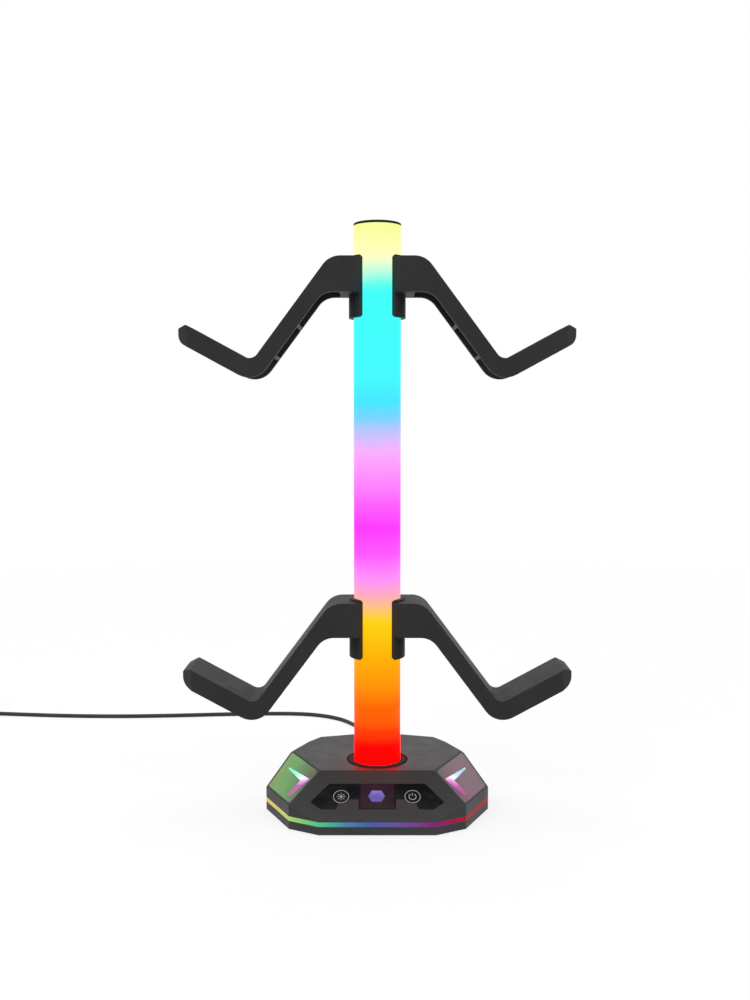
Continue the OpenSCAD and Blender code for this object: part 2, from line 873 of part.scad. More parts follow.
// Cross ribs that stiffen the hook's channel, square to the arm and to the tongue
module hook_ribs() {
    for (d = arm_ribs)
        translate(hook_corner + d * arm_dir)
            rotate(-arm_tilt)
                square([hook_rib, 3 * arm_t], center = true);
    for (d = tongue_ribs)
        translate(hook_corner + d * tongue_dir)
            rotate(tongue_tilt)
                square([hook_rib, 3 * tongue_t], center = true);
}

// Corners of the tongue's tip that the bevel takes off, moved in by skin
module tip_corners(skin = 0) {
    for (y = [-1, 1])
        translate([tip_x - skin, y * (arm_w / 2 - skin), 0])
            rotate([0, 0, 45])
                cube([tip_bevel * sqrt(2), tip_bevel * sqrt(2), far], center = true);
}

// A flat outline in x and z, made solid over the width w from front to rear
module across(w) {
    translate([0, w / 2, 0])
        rotate([90, 0, 0])
            linear_extrude(w)
                children();
}

// Hollow under the hook, open downwards, between its side flanges
module hook_pocket() {
    difference() {
        across(arm_w - 2 * hook_skin)
            difference() {
                hook_profile(hook_skin, 1);
                square([2 * (clip_r + hook_skin + 1), far], center = true);
                hook_ribs();
            }
        tip_corners(hook_skin);
    }
}

// One hook with the clip's top at z = 0
module hook() {
    difference() {
        across(arm_w)
            hook_profile();
        hook_pocket();
        tip_corners();
    }
}

// Clip with two hooks, moulded in one piece
module holder(top_z) {
    color("#39383c")
    translate([0, 0, top_z])
        difference() {
            union() {
                translate([0, 0, -clip_h])
                    cylinder(r = clip_r, h = clip_h);
                hook();
                mirror([1, 0, 0])
                    hook();
            }
            translate([0, 0, -clip_h - 1])
                cylinder(r = tube_r + fit_gap, h = clip_h + 2);
            translate([0, -far / 2, -clip_h / 2])
                across(far)
                    clip_opening();
            translate([0, 0, -clip_h - 1])
                linear_extrude(clip_h + 2)
                    clip_mouth();
        }
}

module upper_holder() { holder(upper_top); }
module lower_holder() { holder(lower_top); }

// Strain relief: inner flange, neck in the wall, outer flange and a grooved, tapered sleeve
module cable_gland() {
    sleeve_l = gland_l - gland_flange_t;
    inner_y = wall + fit_gap + gland_flange_t;
    color("#202022")
    translate([0, rear_y, gland_z])
        rotate([-90, 0, 0])
            rotate_extrude()
                polygon(concat(
                    [[0, -inner_y], [gland_flange_r, -inner_y], [gland_flange_r, -wall - fit_gap],
                        [gland_neck_r, -wall - fit_gap], [gland_neck_r, fit_gap],
                        [gland_flange_r, fit_gap], [gland_flange_r, gland_flange_t]],
                    [for (i = [0:4], p = [[0, 0], [0.6, 0], [0.6, 1], [1, 1]])
                        let (s = (i + p[0]) / 5)
                        [2.9 - 1.2 * s - 0.35 * p[1], gland_flange_t + sleeve_l * s]],
                    [[0, gland_l]]));
}

module power_wires() {
    wire_r = 0.5;
    wire_y0 = standoff_y + board_d / 2;
    wire_y1 = rear_y - wall - fit_gap - gland_flange_t;
    for (x = [-1, 1])
        color(x > 0 ? "#c03030" : "#202020")
        translate([x, wire_y0, gland_z])
            rotate([-90, 0, 0])
                cylinder(r = wire_r, h = wire_y1 - wire_y0);
}

// Directions along a route, one for each of its points
function headings(route) =
    let (n = len(route))
    [for (i = [0:n - 1]) unit(route[min(n - 1, i + 1)] - route[max(0, i - 1)])];

// Catmull-Rom point between route[i] and route[i + 1] at share t
function between(route, i, t) =
    let (n = len(route),
        a = route[max(0, i - 1)], b = route[i], c = route[min(n - 1, i + 1)], d = route[min(n - 1, i + 2)])
    0.5 * (2 * b + (c - a) * t + (2 * a - 5 * b + 4 * c - d) * t * t
        + (3 * b - a - 3 * c + d) * t * t * t);

// Route with a point added halfway along each stretch
function smoothed(route) =
    let (n = len(route))
    concat([for (i = [0:n - 2], t = [0, 0.5]) between(route, i, t)], [route[n - 1]]);

// Plain round cord swept along a route
module swept(route, r, sides = 8) {
    n = len(route);
    dirs = headings(route);
    points = [for (i = [0:n - 1])
        let (side_dir = unit(cross(dirs[i], [0, 0, 1])), up_dir = cross(side_dir, dirs[i]))
        for (k = [0:sides - 1])
            route[i] + r * (cos(360 * (k + 0.5) / sides) * side_dir + sin(360 * (k + 0.5) / sides) * up_dir)];
    skins = [for (i = [0:n - 2], k = [0:sides - 1])
        let (m = (k + 1) % sides)
        [i * sides + k, i * sides + m, (i + 1) * sides + m, (i + 1) * sides + k]];
    start_face = [[for (k = [sides - 1:-1:0]) k]];
    end_face = [[for (k = [0:sides - 1]) (n - 1) * sides + k]];
    polyhedron(points, concat(skins, start_face, end_face));
}

module cable_lead() {
    color("#2a2a2c")
    translate([0, gland_tip_y, gland_z])
        swept(smoothed(lead_route), lead_r);
}

module cable_tail() {
    color("#2a2a2c")
    translate(coil_centre)
        swept(smoothed(tail_route), lead_r);
}

// Outer shape of the wound coil
module cable_coil() {
    color("#2a2a2c")
    translate(coil_centre + [0, 0, coil_z])
        rotate_extrude()
            translate([coil_r, coil_tall / 2])
                rounded_rect(2 * coil_half, coil_tall, lead_r);
}

// Strap round one side of the coil
module cable_tie() {
    clear = 0.6;
    color("#202020")
    translate(coil_centre + [-coil_r, 0, coil_z + coil_tall / 2])
        rotate([90, 0, 0])
            linear_extrude(5, center = true)
                difference() {
                    square([2 * (coil_half + clear + tie_t), coil_tall + 2 * (tie_t + 0.1)], center = true);
                    square([2 * (coil_half + clear), coil_tall + 0.2], center = true);
                }
}

module usb_plug_body() {
    relief_l = 8;
    color("#1c1c1e")
    translate(plug_at)
        rotate([90, 0, 0]) {
            rotate_extrude()
                polygon([[0, 0], [lead_r + 0.5, 0], [lead_r + 1.7, relief_l + 0.5], [0, relief_l + 0.5]]);
            translate([0, 0, relief_l])
                linear_extrude(plug_len)
                    rounded_rect(plug_w, plug_body_t, 1.5);
        }
}

module usb_plug_shell() {
    relief_l = 8;
    color("#c8c8cc")
    translate(plug_at)
        rotate([90, 0, 0])
            translate([0, 0, relief_l + plug_len]) {
                difference() {
                    linear_extrude(shell_len)
                        square([12, 4.5], center = true);
                    translate([0, 0, 1])
                        linear_extrude(shell_len)
                            square([11.3, 3.8], center = true);
                }
                translate([-5.65, -1.9, 0.5])
                    cube([11.3, 1.8, shell_len - 1.5]);
            }
}

base_tray();
light_ring();
base_cover();
window_left();
window_right();
chevron_left();
chevron_right();
touch_panel();
mark_lens();
socket_collar();
weight_plate();
main_board();
touch_board();
window_boards();
ring_strip();
ring_lamps();
board_screws();
base_screws();
tube_screws();
foot_front_left();
foot_front_right();
foot_rear_left();
foot_rear_right();
light_tube();
tube_plug();
led_spine();
spine_lamps();
tube_cap();
upper_holder();
lower_holder();
cable_gland();
power_wires();
cable_lead();
cable_coil();
cable_tie();
cable_tail();
usb_plug_body();
usb_plug_shell();
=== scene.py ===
"""Looks of a desk stand that carries four game controllers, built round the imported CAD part.

Units are metres in the part's own frame: +X to the right of the front, +Y to the rear, +Z up.
Lengths written in millimetres are multiplied by MM.
"""

import math

import bmesh
import bpy
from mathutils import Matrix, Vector


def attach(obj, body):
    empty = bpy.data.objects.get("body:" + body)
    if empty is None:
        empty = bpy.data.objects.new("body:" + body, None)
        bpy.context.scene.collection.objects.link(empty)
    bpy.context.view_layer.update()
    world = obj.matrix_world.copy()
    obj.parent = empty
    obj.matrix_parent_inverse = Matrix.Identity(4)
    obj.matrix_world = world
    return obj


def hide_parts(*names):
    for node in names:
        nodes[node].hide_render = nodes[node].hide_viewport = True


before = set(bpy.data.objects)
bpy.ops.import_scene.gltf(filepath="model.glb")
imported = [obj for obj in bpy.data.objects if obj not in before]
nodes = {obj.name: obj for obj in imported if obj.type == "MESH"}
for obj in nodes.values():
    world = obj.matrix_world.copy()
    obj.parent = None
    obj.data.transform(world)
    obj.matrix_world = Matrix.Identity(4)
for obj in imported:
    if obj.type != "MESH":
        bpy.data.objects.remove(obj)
scene = bpy.context.scene
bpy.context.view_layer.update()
MM = 0.001
BLACK = (0.0, 0.0, 0.0, 1.0)
WHITE = (1.0, 1.0, 1.0, 1.0)


# Camera, fitted to the outlines of tube, clips and base

LENS = 38.25
CAMERA_AT = (-0.96, -453.7, 167.5)
PITCH_DOWN = 4.36

camera_data = bpy.data.cameras.new("camera")
camera_data.sensor_width = 36
camera_data.lens = LENS
camera_data.clip_start = 0.01
camera_data.clip_end = 60
camera = bpy.data.objects.new("camera", camera_data)
camera.location = [c * MM for c in CAMERA_AT]
camera.rotation_euler = (math.radians(90 - PITCH_DOWN), 0, 0)
scene.collection.objects.link(camera)
scene.camera = camera


# Tools for materials

def linear(hex_colour):
    """Scene linear RGBA of a colour that is written as sRGB."""
    channels = [int(hex_colour[i:i + 2], 16) / 255 for i in (1, 3, 5)]
    return [c / 12.92 if c <= 0.04045 else ((c + 0.055) / 1.055) ** 2.4 for c in channels] + [1.0]


def toned(colour, factor):
    """A linear colour made darker or paler."""
    return [min(1.0, c * factor) for c in colour[:3]] + [1.0]


class NodeTree:
    """Adds nodes to the tree of a material or of the world."""

    def __init__(self, tree):
        self.tree = tree

    def add(self, kind, inputs=None, **settings):
        node = self.tree.nodes.new(kind)
        for key, value in settings.items():
            setattr(node, key, value)
        for key, value in (inputs or {}).items():
            self.feed(node.inputs[key], value)
        return node

    def feed(self, socket, value):
        """Links a socket to another one, or gives it a plain value."""
        if isinstance(value, bpy.types.NodeSocket):
            self.tree.links.new(value, socket)
        else:
            socket.default_value = value

    def maths(self, operation, *values):
        return self.add("ShaderNodeMath", dict(enumerate(values)), operation=operation).outputs[0]

    def seen_directly(self):
        """1 for what the camera, a reflection or a clear material sees, else 0."""
        path = self.add("ShaderNodeLightPath")
        return self.maths("MAXIMUM", path.outputs["Is Camera Ray"], self.maths(
            "MAXIMUM", path.outputs["Is Glossy Ray"], path.outputs["Is Transmission Ray"]))


class Surface(NodeTree):
    """A material that is built up step by step round its Principled shader."""

    # Cosine between rounded and flat normal where an edge begins to show, and where it is full
    EDGE_BEGINS, EDGE_FULL = 0.995, 0.86

    def __init__(self, name, **shader):
        self.material = bpy.data.materials.new(name)
        self.material.use_nodes = True
        super().__init__(self.material.node_tree)
        self.shader = self.tree.nodes["Principled BSDF"]
        self.place = self.add("ShaderNodeTexCoord").outputs["Object"]
        for key, value in shader.items():
            self.set(key.replace("_", " ").title().replace("Ior", "IOR"), value)

    def set(self, name, value):
        self.feed(self.shader.inputs[name], value)

    def noise(self, scale, detail=3.0, place=None, roughness=0.5):
        return self.add("ShaderNodeTexNoise", {
            "Vector": place or self.place, "Scale": scale, "Detail": detail,
            "Roughness": roughness}).outputs["Fac"]

    def spread(self, value, low, high, to_low=0.0, to_high=1.0):
        return self.add("ShaderNodeMapRange", {
            "Value": value, "From Min": low, "From Max": high,
            "To Min": to_low, "To Max": to_high}).outputs["Result"]

    def vector(self, operation, *values):
        node = self.add("ShaderNodeVectorMath", dict(enumerate(values)), operation=operation)
        return node.outputs["Value" if operation in ("DOT_PRODUCT", "LENGTH") else "Vector"]

    def stretched(self, x, y, z):
        return self.vector("MULTIPLY", self.place, (x, y, z))

    def height(self):
        return self.add("ShaderNodeSeparateXYZ", {0: self.place}).outputs["Z"]

    def mix(self, share, a, b, blend="MIX"):
        node = self.add("ShaderNodeMix", {0: share, 6: a, 7: b}, data_type="RGBA", blend_type=blend)
        return node.outputs[2]

    def dimmed(self, colour, share):
        """A colour multiplied by a share of light."""
        grey = self.add("ShaderNodeCombineColor", {0: share, 1: share, 2: share}).outputs[0]
        return self.mix(1.0, colour, grey, "MULTIPLY")

    def ramp(self, share, stops):
        node = self.add("ShaderNodeValToRGB", {"Fac": share})
        band = node.color_ramp
        while len(band.elements) < len(stops):
            band.elements.new(0.5)
        # All places first, because Blender sorts the stops by place
        for element, (place, _) in zip(band.elements, stops):
            element.position = place
        for element, (_, colour) in zip(band.elements, stops):
            element.color = linear(colour)
        return node.outputs["Color"]

    def soft_normal(self, radius):
        """Shading normal with its edges rounded by a radius in millimetres."""
        return self.add("ShaderNodeBevel", {"Radius": radius * MM}, samples=6).outputs["Normal"]

    def edge_share(self, soft):
        """0 on flat ground to 1 on an edge, from the rounded normal."""
        flat = self.add("ShaderNodeNewGeometry").outputs["Normal"]
        return self.spread(self.vector("DOT_PRODUCT", soft, flat), self.EDGE_BEGINS, self.EDGE_FULL)

    def relief(self, height, depth, strength, normal=None):
        """Sets a normal with a relief that is depth millimetres deep."""
        inputs = {"Height": height, "Distance": depth * MM, "Strength": strength}
        if normal is not None:
            inputs["Normal"] = normal
        self.set("Normal", self.add("ShaderNodeBump", inputs).outputs["Normal"])


# Materials

def moulded(name, colour, rough=0.5, spec=0.3):
    """Moulded plastic: fine eroded grain, slight mottling, soft edges with a painted highlight that makes
    them a little paler.
    """
    s = Surface(name, specular_ior_level=spec)
    base = linear(colour)
    body = s.mix(s.spread(s.noise(60, 4), 0.35, 0.65), toned(base, 0.9), toned(base, 1.1))
    specks = s.spread(s.noise(1400, 2), 0.62, 0.74, 0.0, 0.3)
    body = s.mix(specks, body, toned(base, 1.5))
    soft = s.soft_normal(0.3)
    # Painted highlight: the soft edges are lightened in patches towards a paler copy of the base colour, and
    # made a little glossier.
    highlight_patches = s.spread(s.noise(260, 3), 0.3, 0.7, 0.175, 0.5)
    edge_highlight = s.maths("MULTIPLY", s.edge_share(soft), highlight_patches)
    s.set("Base Color", s.mix(edge_highlight, body, toned(base, 2.6)))
    s.set("Roughness", s.maths(
        "SUBTRACT", s.spread(s.noise(110, 5), 0.3, 0.7, rough - 0.05, rough + 0.06),
        s.maths("MULTIPLY", edge_highlight, 0.15)))
    s.relief(s.noise(2600, 2), 0.05, 0.6, soft)
    return s.material


def rubber(name, colour, rough=0.75):
    s = Surface(name, specular_ior_level=0.25, sheen_weight=0.08)
    base = linear(colour)
    mottle = s.spread(s.noise(90, 4), 0.3, 0.7)
    s.set("Base Color", s.mix(mottle, toned(base, 0.85), toned(base, 1.25)))
    s.set("Roughness", s.spread(s.noise(200, 3), 0.3, 0.7, rough - 0.08, rough + 0.08))
    s.relief(s.noise(1500, 3), 0.04, 0.6, s.soft_normal(0.2))
    return s.material


def metal(name, colour, rough=0.3, brushed=(1, 1, 1)):
    """Steel with fine streaks; brushed stretches them along an axis."""
    s = Surface(name, metallic=1.0)
    base = linear(colour)
    place = s.stretched(*brushed)
    streak = s.noise(900, 3, place)
    s.set("Base Color", s.mix(streak, toned(base, 0.82), toned(base, 1.08)))
    s.set("Roughness", s.spread(s.noise(300, 4, place), 0.3, 0.7, rough - 0.07, rough + 0.1))
    s.relief(streak, 0.01, 0.4, s.soft_normal(0.12))
    return s.material


# Heights between which the tube's colours run, and over which the strong red of its foot fades
BANDS = (7.6, 247.4)
FOOT_FADE = (26, 44)

TUBE_COLOURS = [
    (0.0, "#e80000"), (0.085, "#ff0000"), (0.11, "#ff2200"), (0.135, "#ff4a00"), (0.19, "#ff9000"),
    (0.25, "#ffb400"), (0.31, "#ffd410"), (0.33, "#ffc868"), (0.35, "#ffb4a8"), (0.385, "#ff94f8"),
    (0.43, "#ff58ff"), (0.475, "#ff38ff"), (0.52, "#ff60ff"), (0.57, "#ff90ff"), (0.612, "#f8b0ff"),
    (0.645, "#bcc4ff"), (0.67, "#78d4ff"), (0.695, "#46e6ff"), (0.74, "#44faff"), (0.885, "#40fff8"),
    (0.9, "#64ffec"), (0.922, "#c0ffe0"), (0.942, "#f8ffc8"), (0.96, "#ffffb8"), (1.0, "#f8ff9a")]

# Once round the base, from the middle of its left side over the front
RING_COLOURS = [
    (0.0, "#f0b850"), (0.03, "#f0d86c"), (0.1, "#e0e278"), (0.125, "#a4dc78"), (0.15, "#64dc90"),
    (0.175, "#50bca0"), (0.2, "#508cb8"), (0.24, "#5064b4"), (0.27, "#6a5eb0"), (0.31, "#7e4a98"),
    (0.34, "#90267c"), (0.37, "#b0204c"), (0.4, "#b82430"), (0.5, "#b82428"), (0.62, "#cc4420"),
    (0.75, "#f07820"), (0.88, "#f4a030"), (1.0, "#f0b850")]


def frosted_tube():
    """Frosted polycarbonate that glows in bands along its height."""
    s = Surface("tube_light", roughness=0.55, specular_ior_level=0.04)
    height = s.height()
    share = s.spread(height, BANDS[0] * MM, BANDS[1] * MM)
    waver = s.spread(s.noise(35, 2), 0.3, 0.7, -0.004, 0.004)
    glow = s.ramp(s.maths("ADD", share, waver), TUBE_COLOURS)
    frost = s.spread(s.noise(700, 3), 0.35, 0.65, 0.97, 1.0)
    s.set("Emission Color", s.dimmed(glow, frost))
    s.set("Emission Strength", s.spread(height, FOOT_FADE[0] * MM, FOOT_FADE[1] * MM, 5.0, 1.0))
    s.set("Base Color", s.mix(0.98, glow, BLACK))
    s.relief(s.noise(2400, 2), 0.03, 0.5)
    return s.material


def ring_light():
    """Translucent light band whose colour runs once round the base."""
    s = Surface("ring_light", roughness=0.4, specular_ior_level=0.04)
    turn = s.add("ShaderNodeTexGradient", {0: s.place}, gradient_type="RADIAL").outputs["Fac"]
    glow = s.ramp(turn, RING_COLOURS)
    cloud = s.spread(s.noise(320, 3), 0.3, 0.7, 0.86, 1.0)
    s.set("Emission Color", s.dimmed(glow, cloud))
    s.set("Emission Strength", 0.62)
    s.set("Base Color", s.mix(0.75, glow, BLACK))
    s.relief(s.noise(1800, 2), 0.03, 0.4, s.soft_normal(0.2))
    return s.material


# A window facet: turn of its lower edge from +X, tilt, and the front end of that edge
TURN, TILT = math.radians(63.2), math.radians(28.2)
FACET_CORNER = (36.2, -30.8, 10.1)


def facet_axes(side):
    along = Vector((side * math.cos(TURN), math.sin(TURN), 0))
    up = Vector((-side * math.sin(TURN) * math.cos(TILT), math.cos(TURN) * math.cos(TILT), math.sin(TILT)))
    corner = Vector((side * FACET_CORNER[0], FACET_CORNER[1], FACET_CORNER[2])) * MM
    return corner, along, up


def facet_share(s, side, direction, origin, low, high):
    """0 to 1 along a direction of the facet, from low to high millimetres past origin."""
    corner, along, up = facet_axes(side)
    way = (along * direction[0] + up * direction[1]).normalized()
    point = corner + (along * origin[0] + up * origin[1]) * MM
    offset = s.vector("SUBTRACT", s.place, tuple(point))
    return s.spread(s.vector("DOT_PRODUCT", offset, tuple(way)), low * MM, high * MM)


def window(name, side, stops):
    """Tinted translucent pane, lit from below, paler where its lamps sit."""
    s = Surface(name, specular_ior_level=0.3, coat_weight=0.1, coat_roughness=0.12)
    share = facet_share(s, side, (-0.8, 0.6), (25, 0), 0, 27)
    cloud = s.spread(s.noise(70, 3), 0.3, 0.7, -0.08, 0.08)
    tint = s.ramp(s.maths("ADD", share, cloud), stops)
    s.set("Base Color", tint)
    s.set("Emission Color", tint)
    s.set("Emission Strength", 0.2)
    s.set("Roughness", s.spread(s.noise(150, 4), 0.3, 0.7, 0.28, 0.38))
    s.relief(s.noise(2200, 2), 0.02, 0.4, s.soft_normal(0.25))
    return s.material


def chevron(name, side, stops):
    """Light guide that runs from magenta at its lower tip through white to cyan at its upper one."""
    s = Surface(name, roughness=0.3, specular_ior_level=0.3)
    share = facet_share(s, side, (0.72, 0.69), (8, 14.8), -10, 12)
    cloud = s.spread(s.noise(260, 2), 0.3, 0.7, -0.03, 0.03)
    glow = s.ramp(s.maths("ADD", share, cloud), stops)
    s.set("Base Color", s.mix(0.7, glow, BLACK))
    s.set("Emission Color", glow)
    s.set("Emission Strength", 0.85)
    s.relief(s.noise(1500, 2), 0.02, 0.4, s.soft_normal(0.15))
    return s.material


def gloss(name, colour, second, spec=0.12):
    """Gloss inlay with faint clouding and the light smears of fingers."""
    s = Surface(name, specular_ior_level=spec, coat_weight=0.1, coat_roughness=0.05)
    cloud = s.spread(s.noise(80, 3), 0.35, 0.65)
    s.set("Base Color", s.mix(cloud, linear(colour), linear(second)))
    smear = s.noise(130, 5, s.stretched(1, 2.2, 1), 0.65)
    s.set("Roughness", s.spread(smear, 0.45, 0.7, 0.12, 0.28))
    s.relief(s.noise(400, 2), 0.005, 0.4, s.soft_normal(0.15))
    return s.material


def board(name):
    """Green solder mask over faint tracks, with tinned pads."""
    s = Surface(name, roughness=0.35, specular_ior_level=0.5)
    cells = s.add("ShaderNodeTexVoronoi", {"Vector": s.place, "Scale": 420.0},
                  distance="MANHATTAN", feature="DISTANCE_TO_EDGE")
    tracks = s.spread(cells.outputs["Distance"], 0.04, 0.07, 1.0, 0.0)
    green = s.mix(tracks, linear("#14512c"), linear("#2a7a48"))
    dots = s.add("ShaderNodeTexVoronoi", {"Vector": s.place, "Scale": 260.0})
    pads = s.spread(dots.outputs["Distance"], 0.1, 0.14, 1.0, 0.0)
    s.set("Base Color", s.mix(pads, green, linear("#c8c0a0")))
    s.set("Metallic", s.maths("MULTIPLY", pads, 0.8))
    s.relief(tracks, 0.03, 0.5)
    return s.material


def white_film(name, colour, glow=0.0):
    s = Surface(name, roughness=0.45, specular_ior_level=0.4)
    base = linear(colour)
    s.set("Base Color", s.mix(s.spread(s.noise(500, 3), 0.3, 0.7), toned(base, 0.88), base))
    if glow:
        s.set("Emission Color", base)
        s.set("Emission Strength", glow)
    s.relief(s.noise(900, 2), 0.02, 0.4)
    return s.material


def woven_tape(name, colour):
    """Hook and loop tape: a tight plain weave under a short nap."""
    s = Surface(name, specular_ior_level=0.15, sheen_weight=0.5, sheen_roughness=0.5)
    weft, warp = [
        s.add("ShaderNodeTexWave", {"Vector": s.place, "Scale": 420.0, "Distortion": 0.6, "Detail": 1.0},
              bands_direction=direction).outputs["Fac"] for direction in ("Y", "DIAGONAL")]
    weave = s.maths("MAXIMUM", weft, warp)
    base = linear(colour)
    fluff = s.noise(1800, 4)
    s.set("Base Color", s.mix(s.maths("MULTIPLY", weave, fluff), toned(base, 0.7), toned(base, 1.7)))
    s.set("Roughness", s.spread(fluff, 0.3, 0.7, 0.8, 0.95))
    s.relief(s.maths("ADD", weave, fluff), 0.12, 0.8)
    return s.material


def printed_light(name, colour, glow):
    """Small lit print on the touch panel, a little uneven as screen print is."""
    s = Surface(name, roughness=0.4, specular_ior_level=0.2)
    base = linear(colour)
    uneven = s.mix(s.spread(s.noise(900, 3), 0.3, 0.7), toned(base, 0.8), base)
    s.set("Base Color", s.mix(0.6, uneven, BLACK))
    s.set("Emission Color", uneven)
    s.set("Emission Strength", glow)
    return s.material


def lit_mark():
    """Blue and violet glow of the plain mark, paler towards its top."""
    s = Surface("lit_mark", roughness=0.3, specular_ior_level=0.2)
    cloud = s.spread(s.noise(500, 3), 0.3, 0.7, -0.1, 0.1)
    share = s.maths("ADD", s.spread(s.height(), 11.2 * MM, 14.2 * MM), cloud)
    glow = s.ramp(share, [(0.0, "#7656a6"), (0.5, "#665ab2"), (1.0, "#8a82d4")])
    s.set("Base Color", s.mix(0.6, glow, BLACK))
    s.set("Emission Color", glow)
    s.set("Emission Strength", 0.55)
    return s.material


FINISHES = {
    "base_tray": moulded("tray_plastic", "#2c2d31", spec=0.3),
    "base_cover": moulded("cover_plastic", "#262628", rough=0.48, spec=0.35),
    "light_ring": ring_light(),
    "window_left": window("window_green", -1, [
        (0.0, "#7a944a"), (0.35, "#5c9850"), (0.6, "#527c48"), (0.8, "#56603f"), (1.0, "#46493e")]),
    "window_right": window("window_mauve", 1, [
        (0.0, "#6c5660"), (0.4, "#745664"), (0.75, "#68505a"), (1.0, "#50464b")]),
    "chevron_left": chevron("chevron_light_left", -1, [
        (0.0, "#94707c"), (0.16, "#a4607c"), (0.3, "#b454b4"), (0.4, "#dc90dc"), (0.48, "#f0dcf8"),
        (0.58, "#e4fff8"), (0.7, "#a0f4dc"), (0.88, "#80e8cc"), (1.0, "#98f4b4")]),
    "chevron_right": chevron("chevron_light_right", 1, [
        (0.0, "#8c4864"), (0.16, "#a4407c"), (0.3, "#b44cac"), (0.4, "#dc88d4"), (0.48, "#f8d4f0"),
        (0.58, "#f4f4fc"), (0.7, "#b4e0f0"), (0.88, "#90ccdc"), (1.0, "#b0dcd0")]),
    "touch_panel": gloss("panel_gloss", "#101011", "#141415"),
    "mark_lens": gloss("mark_tint", "#28171c", "#2e1b20", spec=0.1),
    "socket_collar": moulded("collar_black", "#28282a", rough=0.7, spec=0.08),
    "weight_plate": metal("weight_steel", "#8e9094", 0.42, (1, 0.2, 1)),
    "main_board": board("circuit_board"),
    "touch_board": board("circuit_board_touch"),
    "window_boards": board("circuit_board_window"),
    "ring_strip": white_film("strip_white", "#e9e6dc"),
    "ring_lamps": white_film("lamp_white", "#fbf3cf", 0.4),
    "board_screws": metal("screw_steel_small", "#c4c4c6", 0.25),
    "base_screws": metal("screw_steel", "#b8b8bc", 0.28),
    "tube_screws": metal("screw_steel_tube", "#b8b8bc", 0.28),
    "light_tube": frosted_tube(),
    "tube_plug": moulded("plug_plastic", "#2a2a2c"),
    "led_spine": white_film("spine_white", "#f2f2ee"),
    "spine_lamps": white_film("spine_lamp_white", "#fbf3cf", 0.4),
    "tube_cap": moulded("cap_plastic", "#121213", rough=0.6, spec=0.15),
    "upper_holder": moulded("holder_plastic", "#232325", rough=0.58, spec=0.18),
    "cable_gland": rubber("gland_rubber", "#242426"),
    "power_wires": rubber("wire_jacket", "#6a1c1c", 0.5),
    "usb_plug_body": moulded("plug_body", "#1c1c1e", rough=0.45),
    "usb_plug_shell": metal("plug_metal", "#cfcfd2", 0.22, (1, 0.3, 1)),
}
FINISHES["lower_holder"] = FINISHES["upper_holder"]
foot_rubber = rubber("foot_rubber", "#1a1a1a")
for name in ("foot_front_left", "foot_front_right", "foot_rear_left", "foot_rear_right"):
    FINISHES[name] = foot_rubber
for name, finish in FINISHES.items():
    for place in nodes[name].material_slots:
        place.material = finish


# Tools for the pieces made here

def piece(name, mesh_or_curve, finish):
    """A finished object that rides on the part's one body."""
    made = bpy.data.objects.new(name, mesh_or_curve)
    scene.collection.objects.link(made)
    made.data.materials.append(finish)
    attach(made, "root")
    return made


def ribbon(bm, left, right, low, high, place, closed=False):
    """A flat band between two lines of points, from height low to height high."""
    rows = []
    for a, b in zip(left, right):
        rows.append([bm.verts.new(place(*p, h)) for h in (low, high) for p in (a, b)])
    count = len(rows)
    for i in range(count if closed else count - 1):
        a, b = rows[i], rows[(i + 1) % count]
        bm.faces.new((a[0], a[1], b[1], b[0]))
        bm.faces.new((a[2], b[2], b[3], a[3]))
        bm.faces.new((a[0], b[0], b[2], a[2]))
        bm.faces.new((a[1], a[3], b[3], b[1]))
    if not closed:
        bm.faces.new((rows[0][0], rows[0][2], rows[0][3], rows[0][1]))
        bm.faces.new((rows[-1][0], rows[-1][1], rows[-1][3], rows[-1][2]))


def tile(bm, points, low, high, place):
    """A flat plate over an outline."""
    lower = [bm.verts.new(place(*p, low)) for p in points]
    upper = [bm.verts.new(place(*p, high)) for p in points]
    bm.faces.new(list(reversed(lower)))
    bm.faces.new(upper)
    for i in range(len(points)):
        j = (i + 1) % len(points)
        bm.faces.new((lower[i], lower[j], upper[j], upper[i]))


def circle(centre, radius, start=0.0, sweep=360.0, steps=48):
    """Points on an arc, without the last one where it is a full circle."""
    count = steps if sweep >= 360 else steps + 1
    return [(centre[0] + radius * math.cos(math.radians(start + sweep * i / steps)),
             centre[1] + radius * math.sin(math.radians(start + sweep * i / steps))) for i in range(count)]


def meshed(name, bm, smooth=False):
    bmesh.ops.recalc_face_normals(bm, faces=bm.faces)
    mesh = bpy.data.meshes.new(name)
    bm.to_mesh(mesh)
    bm.free()
    for face in mesh.polygons:
        face.use_smooth = smooth
    return mesh


# Signs on the touch panel, in the plane of the front slope: across, up the slope, out of it

SLOPE = math.radians(31.5)
SLOPE_FOOT = (-37.5, 6.2)
PRINT = 0.06
SIGN_R = 3.3
SIGN_LINE = 0.3
SUN_AT = Vector((-14.9, 12.2))
POWER_AT = Vector((14.5, 12.2))


def on_slope(across, up, out):
    return Vector((across, SLOPE_FOOT[0] + up * math.cos(SLOPE) - out * math.sin(SLOPE),
                   SLOPE_FOOT[1] + up * math.sin(SLOPE) + out * math.cos(SLOPE))) * MM


def ring(bm, centre, outer):
    ribbon(bm, circle(centre, outer), circle(centre, outer - SIGN_LINE), 0, PRINT, on_slope, True)


sign_finish = printed_light("sign_light", "#b0b0b0", 0.36)

sun = bmesh.new()
ring(sun, SUN_AT, SIGN_R)
tile(sun, circle(SUN_AT, 0.62, steps=16), 0, PRINT, on_slope)
for k in range(8):
    way = Vector((math.cos(math.radians(45 * k)), math.sin(math.radians(45 * k))))
    across = Vector((-way.y, way.x)) * SIGN_LINE / 2
    near, tip = SUN_AT + way * 0.95, SUN_AT + way * 1.85
    ribbon(sun, [near + across, tip + across], [near - across, tip - across], 0, PRINT, on_slope)
piece("brightness_sign", meshed("brightness_sign", sun), sign_finish)

